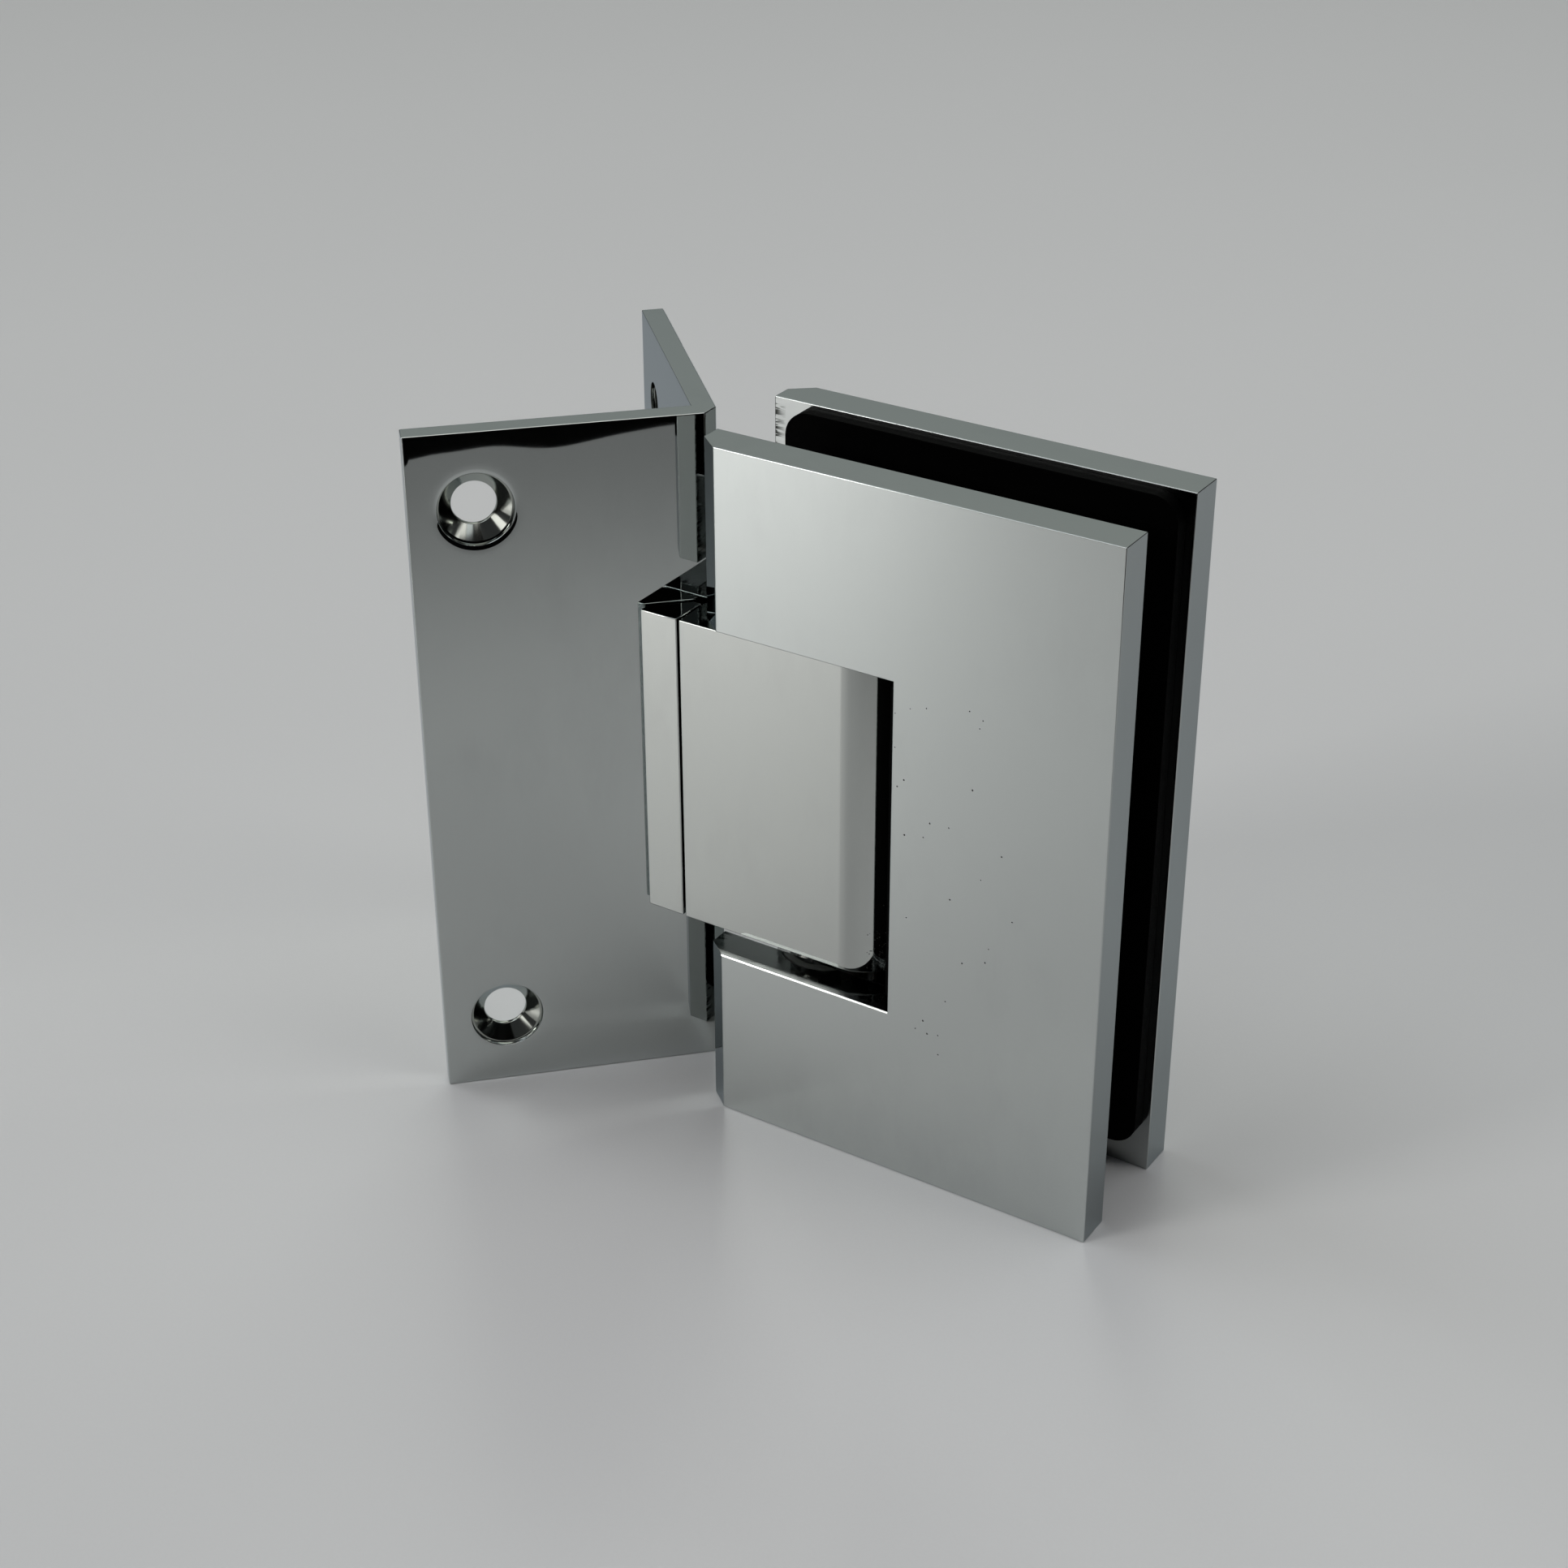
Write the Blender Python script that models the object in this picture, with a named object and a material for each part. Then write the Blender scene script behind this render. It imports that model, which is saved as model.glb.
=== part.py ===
"""Wall-to-glass shower door hinge with a right-angled corner plate.

Lengths are metres and +Z is up. The origin lies on the pivot pin's axis, level with the underside of
the clamp plates. +X runs from the pivot into the glass door and +Y to the hinge's screw side.
The middle plane of the glass is y = 0.
"""
import math

import bmesh
import bpy
from mathutils import Vector

MM = 0.001
ROOT2 = math.sqrt(2)
UP = Vector((0, 0, 1))
SIDES = {"front": -1, "rear": 1}
ENDS = {"lower": -1, "upper": 1}

# Gaps between pieces
REST_GAP = 0.3 * MM
RUN_GAP = 0.1 * MM
SEAM = 0.4 * MM

# Clamp: two plates that hold the glass
CLAMP_HEIGHT = 90 * MM
CLAMP_WIDTH = 54 * MM
CLAMP_THICK = 4.9 * MM
CLAMP_GAP = 12 * MM
PIN_TO_EDGE = 11.1 * MM
CLAMP_LEFT = -PIN_TO_EDGE
CLAMP_RIGHT = CLAMP_WIDTH - PIN_TO_EDGE
CLAMP_INNER = CLAMP_GAP / 2
CLAMP_OUTER = CLAMP_INNER + CLAMP_THICK
MID_Z = CLAMP_HEIGHT / 2
CHAMFER_X = 2.7 * MM
CHAMFER_Y = 2.2 * MM
EDGE_BREAK = 0.2 * MM
NOTCH_RIGHT = 15.4 * MM
NOTCH_HALF_HEIGHT = 22.1 * MM

# Rubber gaskets on the plates' inner faces
GLASS_THICK = 8 * MM
GASKET_LEFT = CLAMP_LEFT + 2.7 * MM
GASKET_RIGHT = CLAMP_RIGHT - 1.1 * MM
GASKET_LOW = {"front": 2.3 * MM, "rear": 4.2 * MM}
GASKET_HEIGHT = 85.4 * MM
GASKET_CORNER = 3 * MM
CUTOUT_RIGHT = 14.4 * MM
CUTOUT_HALF_HEIGHT = 32.5 * MM
EAR_RADIUS = 8 * MM
LIP_THICK = 0.7 * MM
LIP_HALF_HEIGHT = 20.7 * MM
LIP_OUTER = 9.6 * MM

# Clamp screws, their bosses on the front plate and the sleeves round them
CLAMP_SCREW_X = 20 * MM
CLAMP_SCREW_OFFSET = 29 * MM
CLAMP_SCREW_RADIUS = 2.7 * MM
CLAMP_HEAD_RADIUS = 5.6 * MM
CLAMP_SOCKET = 4 * MM
BOSS_RADIUS = 5.3 * MM
BOSS_TOP = 2 * MM
SLEEVE_OUTER = 7.5 * MM
SLEEVE_WALL = 1.8 * MM

# Corner plate: two leaves at a right angle, nose towards the clamp
LEAF_LENGTH = 36.8 * MM
LEAF_THICK = 2.8 * MM
LEAF_HEIGHT = 89.2 * MM
VERTEX_X = -14.9 * MM
NOSE_HALF = 1.2 * MM
SEAT_X = VERTEX_X - NOSE_HALF
WALL_HOLE_TO_VERTEX = 28.7 * MM
WALL_HOLE_SPACING = 70 * MM
WALL_HOLE_RADIUS = 2.7 * MM
WALL_STEP_RADIUS = 4.6 * MM
WALL_CONE_RADIUS = 4.35 * MM
WALL_STEP_DEPTH = 0.7 * MM
WALL_CONE_DEPTH = 2.3 * MM

# Pivot block and the wedges that give it a flat seat on the corner plate
BLOCK_LEFT = SEAT_X + SEAM
BLOCK_RIGHT = 13.1 * MM
BLOCK_HALF = 7.9 * MM
BLOCK_HALF_HEIGHT = 20.5 * MM
BLOCK_CORNER = 6.5 * MM
BLOCK_EDGE = 0.35 * MM
WEDGE_FACE = 5.2 * MM
WEDGE_TIP_Y = 2.6 * MM

# Screws that hold the block on the corner plate
BLOCK_SCREW_OFFSET = 15.5 * MM
BLOCK_SCREW_RADIUS = 2 * MM
BLOCK_SCREW_SEAT_X = SEAT_X - 3.5 * MM
BLOCK_SCREW_END_X = -8.6 * MM
BLOCK_HEAD_RADIUS = 3.8 * MM
BLOCK_SOCKET = 2.5 * MM

# Pivot pin, its bushes and its screws
PIN_RADIUS = 4.5 * MM
PIN_HALF_LENGTH = 30.5 * MM
DETENT_TRAVEL = 0.8 * MM
CAM_HALF_LENGTH = 8.5 * MM
CAM_FLAT = PIN_RADIUS - DETENT_TRAVEL
TONGUE_START = 22.3 * MM
TONGUE_HALF = 3 * MM
BUSH_INNER = PIN_RADIUS + RUN_GAP
BUSH_OUTER = 5.5 * MM
BUSH_LENGTH = 6 * MM
PAD_START = 22.6 * MM
PAD_END = 31.5 * MM
PAD_HALF = 5.5 * MM
PIN_SCREW_OFFSET = 26.5 * MM
PIN_SCREW_RADIUS = 2 * MM
PIN_HEAD_RADIUS = 3.2 * MM
PIN_HEAD_HEIGHT = 2.1 * MM
PIN_SCREW_END_Y = 8.6 * MM

# Spring detents between the block and the pin's flats
DETENT_OFFSET = 5 * MM
DETENT_RADIUS = 3 * MM
PLUNGER_FACE_X = -(PIN_RADIUS + RUN_GAP)
PLUNGER_LENGTH = 3.6 * MM
PLUG_LENGTH = 2.8 * MM
PLUG_SOCKET = 3 * MM
SPRING_RADIUS = 2 * MM
SPRING_WIRE = 0.35 * MM
SPRING_TURNS = 4

ROUND_SEGMENTS = 32
SMALL_SEGMENTS = 20


def clear_scene():
    for item in list(bpy.data.objects):
        bpy.data.objects.remove(item, do_unlink=True)


def material(name, colour, roughness, metallic):
    made = bpy.data.materials.new(name)
    made.use_nodes = True
    shader = made.node_tree.nodes["Principled BSDF"]
    shader.inputs["Base Color"].default_value = (*colour, 1)
    shader.inputs["Roughness"].default_value = roughness
    shader.inputs["Metallic"].default_value = metallic
    return made


def finish(name, mesh, look, parent, location, direction):
    """Turn a bmesh into a named object whose own +Z points along direction."""
    bmesh.ops.recalc_face_normals(mesh, faces=mesh.faces)
    data = bpy.data.meshes.new(name)
    mesh.to_mesh(data)
    mesh.free()
    data.shade_smooth()
    data.set_sharp_from_angle(angle=math.radians(35))
    made = bpy.data.objects.new(name, data)
    bpy.context.scene.collection.objects.link(made)
    made.parent = parent
    made.location = location
    made.rotation_mode = "QUATERNION"
    made.rotation_quaternion = UP.rotation_difference(Vector(direction))
    if look:
        data.materials.append(look)
    return made


def prism(name, outline, low, high, look, parent=None, location=(0, 0, 0), direction=UP):
    """A solid with the given XY outline between two heights."""
    mesh = bmesh.new()
    base = mesh.faces.new([mesh.verts.new((x, y, low)) for x, y in outline])
    raised = bmesh.ops.extrude_face_region(mesh, geom=[base])["geom"]
    top = [item for item in raised if isinstance(item, bmesh.types.BMVert)]
    bmesh.ops.translate(mesh, verts=top, vec=(0, 0, high - low))
    return finish(name, mesh, look, parent, location, direction)


def turned(name, profile, look, parent=None, location=(0, 0, 0), direction=UP,
           tube=False, segments=ROUND_SEGMENTS):
    """A solid of revolution about its own Z from (radius, height) points; a tube's profile is a loop."""
    mesh = bmesh.new()
    rings = []
    for radius, height in profile:
        turns = [2 * math.pi * step / segments for step in range(segments)]
        rings.append([mesh.verts.new((radius * math.cos(t), radius * math.sin(t), height)) for t in turns])
    pairs = list(zip(rings, rings[1:]))
    if tube:
        pairs.append((rings[-1], rings[0]))
    for lower, upper in pairs:
        for step in range(segments):
            after = (step + 1) % segments
            mesh.faces.new((lower[step], lower[after], upper[after], upper[step]))
    if not tube:
        mesh.faces.new(rings[0])
        mesh.faces.new(rings[-1])
    return finish(name, mesh, look, parent, location, direction)


def boolean(target, tool, operation="DIFFERENCE"):
    """Cut a tool from the target, or join it on; the tool itself is only a guide."""
    step = target.modifiers.new(tool.name, "BOOLEAN")
    step.operation = operation
    step.solver = "EXACT"
    step.object = tool
    tool.hide_render = True
    tool.display_type = "WIRE"


def round_edges(target, width, segments=1):
    step = target.modifiers.new("edges", "BEVEL")
    step.width = width
    step.segments = segments
    step.limit_method = "ANGLE"
    step.angle_limit = math.radians(40)


def box(name, low, high, parent=None, look=None):
    corners = [(low[0], low[1]), (high[0], low[1]), (high[0], high[1]), (low[0], high[1])]
    return prism(name, corners, low[2], high[2], look, parent)


def hexagon(across_flats):
    radius = across_flats / math.sqrt(3)
    return [(radius * math.cos(math.radians(60 * k)), radius * math.sin(math.radians(60 * k)))
            for k in range(6)]


def arc(centre_x, centre_y, radius, start, end, steps):
    """Points on an arc, with angles in degrees."""
    angles = [math.radians(start + (end - start) * k / steps) for k in range(steps + 1)]
    return [(centre_x + radius * math.cos(a), centre_y + radius * math.sin(a)) for a in angles]


def height_of(end, offset):
    return MID_Z + ENDS[end] * offset


def make_looks():
    return {
        "chrome": material("chrome", (0.62, 0.64, 0.64), 0.06, 1),
        "steel": material("steel", (0.45, 0.45, 0.44), 0.3, 1),
        "spring": material("spring", (0.3, 0.3, 0.31), 0.35, 1),
        "rubber": material("rubber", (0.008, 0.008, 0.009), 0.75, 0),
        "nylon": material("nylon", (0.72, 0.71, 0.67), 0.5, 0),
        "brass": material("brass", (0.6, 0.45, 0.2), 0.3, 1),
    }


def clamp_plate(side, look, pivot):
    """A flat plate, chamfered on its outer wall-side edge and notched for the pivot block."""
    sign = SIDES[side]
    outline = [(CLAMP_LEFT, sign * CLAMP_INNER),
               (CLAMP_RIGHT, sign * CLAMP_INNER),
               (CLAMP_RIGHT, sign * CLAMP_OUTER),
               (CLAMP_LEFT + CHAMFER_X, sign * CLAMP_OUTER),
               (CLAMP_LEFT, sign * (CLAMP_OUTER - CHAMFER_Y))]
    plate = prism(f"{side}_clamp_plate", outline, 0, CLAMP_HEIGHT, look, pivot)
    round_edges(plate, EDGE_BREAK)
    notch = box(f"{side}_notch",
                (CLAMP_LEFT - CLAMP_THICK, -CLAMP_OUTER - CLAMP_THICK, MID_Z - NOTCH_HALF_HEIGHT),
                (NOTCH_RIGHT, CLAMP_OUTER + CLAMP_THICK, MID_Z + NOTCH_HALF_HEIGHT), pivot)
    boolean(plate, notch)
    return plate


def front_plate(looks, pivot):
    """The plain outside plate, with two blind threaded bosses on its inner face."""
    plate = clamp_plate("front", looks["chrome"], pivot)
    for end in ENDS:
        place = (CLAMP_SCREW_X, 0, height_of(end, CLAMP_SCREW_OFFSET))
        boss = turned(f"boss_{end}", [(BOSS_RADIUS, -CLAMP_INNER - CLAMP_THICK / 2), (BOSS_RADIUS, BOSS_TOP)],
                      None, pivot, place, (0, 1, 0))
        boolean(plate, boss, "UNION")
        bore = turned(f"boss_bore_{end}",
                      [(CLAMP_SCREW_RADIUS + REST_GAP, -CLAMP_OUTER + 2 * MM),
                       (CLAMP_SCREW_RADIUS + REST_GAP, BOSS_TOP + 1 * MM)],
                      None, pivot, place, (0, 1, 0), segments=SMALL_SEGMENTS)
        boolean(plate, bore)


def rear_plate(looks, pivot):
    """The screw-side plate, with countersunk holes and the two pads that the pivot pin lies on."""
    plate = clamp_plate("rear", looks["chrome"], pivot)
    hole = CLAMP_SCREW_RADIUS + REST_GAP
    sink = CLAMP_HEAD_RADIUS + REST_GAP * ROOT2
    for end in ENDS:
        place = (CLAMP_SCREW_X, 0, height_of(end, CLAMP_SCREW_OFFSET))
        profile = [(hole, CLAMP_INNER - 1 * MM),
                   (hole, CLAMP_OUTER - (sink - hole)),
                   (sink, CLAMP_OUTER),
                   (sink, CLAMP_OUTER + 1 * MM)]
        boolean(plate, turned(f"countersink_{end}", profile, None, pivot, place, (0, 1, 0)))
        heights = sorted((height_of(end, PAD_START), height_of(end, PAD_END)))
        pad = box(f"pad_{end}", (-PAD_HALF, TONGUE_HALF + REST_GAP, heights[0]),
                  (PAD_HALF, CLAMP_INNER + CLAMP_THICK / 2, heights[1]), pivot)
        boolean(plate, pad, "UNION")
        tapped = turned(f"pad_bore_{end}",
                        [(PIN_SCREW_RADIUS + REST_GAP, 0),
                         (PIN_SCREW_RADIUS + REST_GAP, PIN_SCREW_END_Y + REST_GAP)],
                        None, pivot, (0, 0, height_of(end, PIN_SCREW_OFFSET)), (0, 1, 0),
                        segments=SMALL_SEGMENTS)
        boolean(plate, tapped)


def gasket(side, looks, pivot):
    """A rubber pad with round corners, cut away round the pivot and the screws, with a lip in the notch."""
    low = GASKET_LOW[side]
    high = low + GASKET_HEIGHT
    left = GASKET_LEFT + GASKET_CORNER
    right = GASKET_RIGHT - GASKET_CORNER
    bottom = low + GASKET_CORNER
    top = high - GASKET_CORNER
    outline = arc(left, bottom, GASKET_CORNER, 180, 270, 6)
    outline += arc(right, bottom, GASKET_CORNER, 270, 360, 6)
    outline += arc(right, top, GASKET_CORNER, 0, 90, 6)
    outline += arc(left, top, GASKET_CORNER, 90, 180, 6)
    faces = sorted((SIDES[side] * GLASS_THICK / 2, SIDES[side] * (CLAMP_INNER - REST_GAP)))
    mesh = bmesh.new()
    base = mesh.faces.new([mesh.verts.new((x, faces[0], z)) for x, z in outline])
    raised = bmesh.ops.extrude_face_region(mesh, geom=[base])["geom"]
    moved = [item for item in raised if isinstance(item, bmesh.types.BMVert)]
    bmesh.ops.translate(mesh, verts=moved, vec=(0, faces[1] - faces[0], 0))
    pad = finish(f"{side}_gasket", mesh, looks["rubber"], pivot, (0, 0, 0), UP)
    cutout = box(f"{side}_cutout", (CLAMP_LEFT - 1 * MM, -CLAMP_INNER, MID_Z - CUTOUT_HALF_HEIGHT),
                 (CUTOUT_RIGHT, CLAMP_INNER, MID_Z + CUTOUT_HALF_HEIGHT), pivot)
    boolean(pad, cutout)
    depths = sorted((SIDES[side] * (GLASS_THICK / 2 + REST_GAP), SIDES[side] * LIP_OUTER))
    lip = box(f"{side}_lip", (CUTOUT_RIGHT - 0.1 * MM, depths[0], MID_Z - LIP_HALF_HEIGHT),
              (CUTOUT_RIGHT + LIP_THICK, depths[1], MID_Z + LIP_HALF_HEIGHT), pivot)
    boolean(pad, lip, "UNION")
    for end in ENDS:
        ear = turned(f"{side}_ear_{end}", [(EAR_RADIUS, -CLAMP_INNER), (EAR_RADIUS, CLAMP_INNER)], None,
                     pivot, (CLAMP_SCREW_X, 0, height_of(end, CLAMP_SCREW_OFFSET)), (0, 1, 0))
        boolean(pad, ear)


def clamp_screw(end, looks, pivot):
    """Countersunk socket screw, head flush in the rear plate, shank in the front plate's boss."""
    top = CLAMP_OUTER - 0.1 * MM
    cone = CLAMP_HEAD_RADIUS - CLAMP_SCREW_RADIUS
    profile = [(CLAMP_SCREW_RADIUS, -CLAMP_INNER), (CLAMP_SCREW_RADIUS, top - cone),
               (CLAMP_HEAD_RADIUS, top)]
    place = (CLAMP_SCREW_X, 0, height_of(end, CLAMP_SCREW_OFFSET))
    screw = turned(f"clamp_screw_{end}", profile, looks["chrome"], pivot, place, (0, 1, 0))
    socket = prism(f"clamp_socket_{end}", hexagon(CLAMP_SOCKET), top - 2 * MM, top + 1 * MM, None, pivot,
                   place, (0, 1, 0))
    boolean(screw, socket)


def glass_sleeve(end, looks, pivot):
    half = GLASS_THICK / 2 - REST_GAP
    inner = SLEEVE_OUTER - SLEEVE_WALL
    profile = [(inner, -half), (SLEEVE_OUTER, -half), (SLEEVE_OUTER, half), (inner, half)]
    turned(f"glass_sleeve_{end}", profile, looks["nylon"], pivot,
           (CLAMP_SCREW_X, 0, height_of(end, CLAMP_SCREW_OFFSET)), (0, 1, 0), tube=True)


def pivot_pin(looks, pivot):
    """A round pin with four detent flats in the middle and a flat tongue at each end."""
    pin = turned("pivot_pin",
                 [(PIN_RADIUS - 0.4 * MM, MID_Z - PIN_HALF_LENGTH),
                  (PIN_RADIUS, MID_Z - PIN_HALF_LENGTH + 0.4 * MM),
                  (PIN_RADIUS, MID_Z + PIN_HALF_LENGTH - 0.4 * MM),
                  (PIN_RADIUS - 0.4 * MM, MID_Z + PIN_HALF_LENGTH)], looks["steel"], pivot)
    reach = 2 * PIN_RADIUS
    for number, (along_x, along_y) in enumerate(((1, 0), (0, 1), (-1, 0), (0, -1))):
        spans = []
        for along in (along_x, along_y):
            spans.append(sorted((along * CAM_FLAT, along * reach)) if along else (-reach, reach))
        flat = box(f"cam_flat_{number}", (spans[0][0], spans[1][0], MID_Z - CAM_HALF_LENGTH),
                   (spans[0][1], spans[1][1], MID_Z + CAM_HALF_LENGTH), pivot)
        boolean(pin, flat)
    for end in ENDS:
        heights = sorted((height_of(end, TONGUE_START), height_of(end, PIN_HALF_LENGTH + 1 * MM)))
        for side, sign in SIDES.items():
            span = sorted((sign * TONGUE_HALF, sign * reach))
            boolean(pin, box(f"tongue_{end}_{side}", (-reach, span[0], heights[0]),
                             (reach, span[1], heights[1]), pivot))
        hole = PIN_SCREW_RADIUS + REST_GAP
        boolean(pin, turned(f"tongue_hole_{end}", [(hole, -reach), (hole, reach)], None, pivot,
                            (0, 0, height_of(end, PIN_SCREW_OFFSET)), (0, 1, 0), segments=SMALL_SEGMENTS))


def pin_screw(end, looks, pivot):
    """Cheese-head screw through the pin's tongue into the rear plate's pad."""
    under = -(TONGUE_HALF + REST_GAP)
    profile = [(PIN_HEAD_RADIUS, under - PIN_HEAD_HEIGHT), (PIN_HEAD_RADIUS, under),
               (PIN_SCREW_RADIUS, under), (PIN_SCREW_RADIUS, PIN_SCREW_END_Y)]
    place = (0, 0, height_of(end, PIN_SCREW_OFFSET))
    screw = turned(f"pin_screw_{end}", profile, looks["steel"], pivot, place, (0, 1, 0),
                   segments=SMALL_SEGMENTS)
    socket = prism(f"pin_socket_{end}", hexagon(BLOCK_SOCKET), under - PIN_HEAD_HEIGHT - 1 * MM,
                   under - 0.8 * MM, None, pivot, place, (0, 1, 0))
    boolean(screw, socket)


def leaf_point(side, along, depth):
    """A point on a leaf, so far from the vertex along its outer face and so deep into it."""
    sign = SIDES[side]
    return (VERTEX_X - (along + depth) / ROOT2, sign * (along - depth) / ROOT2)


def corner_plate(looks):
    """The right-angled wall plate with two countersunk wall screw holes in each leaf."""
    outline = [(SEAT_X, -NOSE_HALF), leaf_point("front", LEAF_LENGTH, 0),
               leaf_point("front", LEAF_LENGTH, LEAF_THICK), (VERTEX_X - LEAF_THICK * ROOT2, 0),
               leaf_point("rear", LEAF_LENGTH, LEAF_THICK), leaf_point("rear", LEAF_LENGTH, 0),
               (SEAT_X, NOSE_HALF)]
    plate = prism("corner_plate", outline, 0, LEAF_HEIGHT, looks["chrome"])
    round_edges(plate, EDGE_BREAK)
    profile = [(WALL_HOLE_RADIUS, LEAF_THICK + 1 * MM), (WALL_HOLE_RADIUS, WALL_CONE_DEPTH),
               (WALL_CONE_RADIUS, WALL_STEP_DEPTH), (WALL_STEP_RADIUS, WALL_STEP_DEPTH),
               (WALL_STEP_RADIUS, -1 * MM)]
    for side, sign in SIDES.items():
        for end, up in ENDS.items():
            place = (*leaf_point(side, WALL_HOLE_TO_VERTEX, 0), LEAF_HEIGHT / 2 + up * WALL_HOLE_SPACING / 2)
            boolean(plate, turned(f"wall_hole_{side}_{end}", profile, None, None, place, (-1, -sign, 0)))
    hole = BLOCK_SCREW_RADIUS + REST_GAP
    sink = BLOCK_HEAD_RADIUS + REST_GAP * ROOT2
    profile = [(sink, -6 * MM), (sink, 0), (hole, sink - hole), (hole, 6 * MM)]
    for end in ENDS:
        place = (BLOCK_SCREW_SEAT_X, 0, height_of(end, BLOCK_SCREW_OFFSET))
        boolean(plate, turned(f"nose_hole_{end}", profile, None, None, place, (1, 0, 0)))


def wedge(side, looks):
    """Fills the corner between a leaf and the block's flat seat, level with the block's face."""
    sign = SIDES[side]
    slope = VERTEX_X + REST_GAP * ROOT2
    outline = [(SEAT_X, BLOCK_HALF), (SEAT_X, WEDGE_TIP_Y), (slope - WEDGE_TIP_Y, WEDGE_TIP_Y),
               (SEAT_X - WEDGE_FACE, slope - SEAT_X + WEDGE_FACE), (SEAT_X - WEDGE_FACE, BLOCK_HALF)]
    prism(f"{side}_wedge", [(x, sign * y) for x, y in outline], MID_Z - BLOCK_HALF_HEIGHT,
          MID_Z + BLOCK_HALF_HEIGHT, looks["chrome"])


def pivot_block(looks):
    """The fixed block that carries the pin: square at the wall, round-cornered at the glass."""
    centre_x = BLOCK_RIGHT - BLOCK_CORNER
    centre_y = BLOCK_HALF - BLOCK_CORNER
    outline = [(BLOCK_LEFT, BLOCK_HALF), (BLOCK_LEFT, -BLOCK_HALF)]
    outline += arc(centre_x, -centre_y, BLOCK_CORNER, 270, 360, 10)
    outline += arc(centre_x, centre_y, BLOCK_CORNER, 0, 90, 10)
    block = prism("pivot_block", outline, MID_Z - BLOCK_HALF_HEIGHT, MID_Z + BLOCK_HALF_HEIGHT,
                  looks["chrome"])
    round_edges(block, BLOCK_EDGE, 2)
    pocket = BUSH_OUTER + REST_GAP
    floor = BLOCK_HALF_HEIGHT - BUSH_LENGTH - REST_GAP
    bore = PIN_RADIUS + 2 * RUN_GAP
    profile = [(pocket, -BLOCK_HALF_HEIGHT - 1 * MM), (pocket, -floor), (bore, -floor), (bore, floor),
               (pocket, floor), (pocket, BLOCK_HALF_HEIGHT + 1 * MM)]
    boolean(block, turned("pin_bore", profile, None, None, (0, 0, MID_Z)))
    for end in ENDS:
        place = (BLOCK_LEFT, 0, height_of(end, DETENT_OFFSET))
        profile = [(DETENT_RADIUS, -1 * MM), (DETENT_RADIUS, -BLOCK_LEFT)]
        boolean(block, turned(f"detent_bore_{end}", profile, None, None, place, (1, 0, 0),
                              segments=SMALL_SEGMENTS))
        hole = BLOCK_SCREW_RADIUS + REST_GAP
        place = (BLOCK_LEFT, 0, height_of(end, BLOCK_SCREW_OFFSET))
        profile = [(hole, -1 * MM), (hole, BLOCK_SCREW_END_X - BLOCK_LEFT + 1 * MM)]
        boolean(block, turned(f"tapped_hole_{end}", profile, None, None, place, (1, 0, 0),
                              segments=SMALL_SEGMENTS))


def block_screw(end, looks):
    """Countersunk socket screw from inside the corner plate into the block."""
    cone = BLOCK_HEAD_RADIUS - BLOCK_SCREW_RADIUS
    profile = [(BLOCK_HEAD_RADIUS, -0.1 * MM), (BLOCK_HEAD_RADIUS, 0), (BLOCK_SCREW_RADIUS, cone),
               (BLOCK_SCREW_RADIUS, BLOCK_SCREW_END_X - BLOCK_SCREW_SEAT_X)]
    place = (BLOCK_SCREW_SEAT_X, 0, height_of(end, BLOCK_SCREW_OFFSET))
    screw = turned(f"block_screw_{end}", profile, looks["steel"], None, place, (1, 0, 0),
                   segments=SMALL_SEGMENTS)
    socket = prism(f"block_socket_{end}", hexagon(BLOCK_SOCKET), -1 * MM, 1.3 * MM, None, None, place,
                   (1, 0, 0))
    boolean(screw, socket)


def bush(end, looks):
    """Plain nylon bearing, level with the end of the block."""
    up = Vector((0, 0, ENDS[end]))
    profile = [(BUSH_INNER, -BUSH_LENGTH), (BUSH_OUTER, -BUSH_LENGTH), (BUSH_OUTER, 0), (BUSH_INNER, 0)]
    turned(f"bush_{end}", profile, looks["nylon"], None, (0, 0, height_of(end, BLOCK_HALF_HEIGHT)), up,
           tube=True)


def detent_plunger(end, looks):
    """Flat-faced plunger, held here at the full radius of the pin."""
    radius = DETENT_RADIUS - RUN_GAP
    edge = 0.3 * MM
    profile = [(radius - edge, -PLUNGER_LENGTH), (radius, edge - PLUNGER_LENGTH), (radius, -edge),
               (radius - edge, 0)]
    turned(f"detent_plunger_{end}", profile, looks["brass"], None,
           (PLUNGER_FACE_X, 0, height_of(end, DETENT_OFFSET)), (1, 0, 0), segments=SMALL_SEGMENTS)


def spring_plug(end, looks):
    """Headless socket screw that closes a detent bore."""
    place = (BLOCK_LEFT + REST_GAP, 0, height_of(end, DETENT_OFFSET))
    radius = DETENT_RADIUS - 0.2 * MM
    plug = turned(f"spring_plug_{end}", [(radius, 0), (radius, PLUG_LENGTH)], looks["steel"], None, place,
                  (1, 0, 0), segments=SMALL_SEGMENTS)
    socket = prism(f"plug_socket_{end}", hexagon(PLUG_SOCKET), -1 * MM, 1.6 * MM, None, None, place,
                   (1, 0, 0))
    boolean(plug, socket)


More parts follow.
